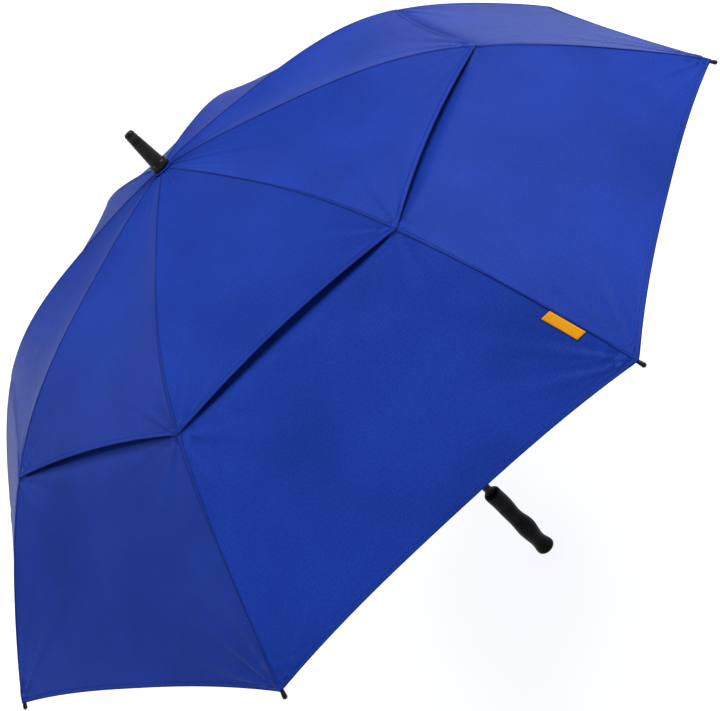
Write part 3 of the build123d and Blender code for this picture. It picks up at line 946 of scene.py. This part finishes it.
def label():
    """Orange label with a dark border, left blank."""
    for name, lift, inset, material in (("label_back", 0.5 * MM, 0.0, LABEL_EDGE),
                                        ("label_face", 0.75 * MM, LABEL_BORDER, LABEL)):
        piece, rib = laid_patch(name, LABEL_PANEL, LABEL_START, LABEL_ASIDE, LABEL_LENGTH,
                                LABEL_WIDTH, lift, material, inset)
        crumple(piece)


def strap():
    """Closing strap at the back: cloth tape with a hook-and-loop end, lying beside its seam."""
    tape, rib = laid_patch("strap_tape", STRAP_PANEL, STRAP_START, STRAP_ASIDE, STRAP_LENGTH,
                           STRAP_WIDTH, 0.7 * MM, SEAM)
    hook, _ = laid_patch("strap_hook", STRAP_PANEL, STRAP_START + HOOK_INSET,
                         STRAP_ASIDE + HOOK_ASIDE, HOOK_LENGTH, HOOK_WIDTH, 1.15 * MM, SATIN)
    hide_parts("closure_strap")
    for piece in (tape, hook):
        crumple(piece)


# ---- pieces that keep their CAD shape ----
def repaint():
    finishes = {"shaft": LACQUER, "crown": SATIN, "crown_pins": STEEL, "runner": SATIN,
                "runner_pins": STEEL, "latch_button": GLOSSY, "latch_spring": STEEL}
    for rib in range(RIBS):
        finishes[f"stretcher_{rib + 1}"] = LACQUER
    for name, material in finishes.items():
        node = frame["nodes"][name]
        node.data.materials.clear()
        node.data.materials.append(material)


# ---- floor, light and camera ----
FLOOR_HALF = 30.0
FLOOR_DROP = 2 * MM
FLOOR_GLOW = 0.84
SKY_COLOUR, SKY_STRENGTH = (0.97, 0.98, 1.0, 1), 0.34
# Lamps: place, what they point at, size in metres and power in watts.
LAMPS = {"key": ((1.7, -1.1, 3.2), (0, 0, 0.75), 1.5, 72),
         "back": ((-1.3, 1.3, 3.1), (0, 0, 0.7), 1.0, 20)}

CAMERA_PLACE = (-0.4878, -1.5151, 1.3564)
CAMERA_TURN = (53.215, 38.094, -44.582)     # degrees
CAMERA_LENS, CAMERA_SENSOR = 60.975, 36.0
CAMERA_SHIFT = (-0.0321, -0.0303)


def studio():
    """A bright floor under a dim, even sky, with a broad lamp high on the right and a weak one."""
    size = FLOOR_HALF
    floor = make_piece("floor", [(-size, -size, 0), (size, -size, 0), (size, size, 0),
                                 (-size, size, 0)], [(0, 1, 2, 3)], [], smooth=False)
    floor.location.z = -FLOOR_DROP
    material, nodes, links, shader = new_material("pale_floor")
    mottle = noise(nodes, links, nodes.new("ShaderNodeTexCoord").outputs["Object"], 3.0, 3.0)
    tint = ramp(nodes, [(0.3, (0.60, 0.60, 0.60)), (0.7, (0.62, 0.62, 0.62))])
    drive(links, mottle, tint, shader, "Base Color")
    shader.inputs["Roughness"].default_value = 0.9
    shader.inputs["Specular IOR Level"].default_value = 0.05
    shader.inputs["Emission Color"].default_value = (1, 1, 1, 1)
    shader.inputs["Emission Strength"].default_value = FLOOR_GLOW
    floor.data.materials.append(material)

    world = bpy.data.worlds.new("studio")
    world.use_nodes = True
    world.node_tree.nodes["Background"].inputs["Color"].default_value = SKY_COLOUR
    world.node_tree.nodes["Background"].inputs["Strength"].default_value = SKY_STRENGTH
    bpy.context.scene.world = world
    for name, (place, aim, size, power) in LAMPS.items():
        light = bpy.data.lights.new(name, "AREA")
        light.size = size
        light.energy = power
        lamp = link(name, light)
        lamp.location = place
        lamp.rotation_euler = (Vector(aim) - Vector(place)).to_track_quat("-Z", "Y").to_euler()


def camera():
    data = bpy.data.cameras.new("camera")
    data.sensor_width = CAMERA_SENSOR
    data.lens = CAMERA_LENS
    data.shift_x, data.shift_y = CAMERA_SHIFT
    data.clip_end = 100.0
    eye = link("camera", data)
    eye.location = CAMERA_PLACE
    eye.rotation_euler = Euler([math.radians(a) for a in CAMERA_TURN], "XYZ")
    bpy.context.scene.camera = eye
    bpy.context.scene.view_settings.view_transform = "Standard"


camera()
studio()
build_canopy()
for number in range(RIBS):
    for cloth in (UPPER, LOWER):
        seam(cloth, number)
    rib_rod(number)
    rib_fittings(number)
    tip_cap(number)
ferrule()
rosette()
grip()
label()
strap()
repaint()
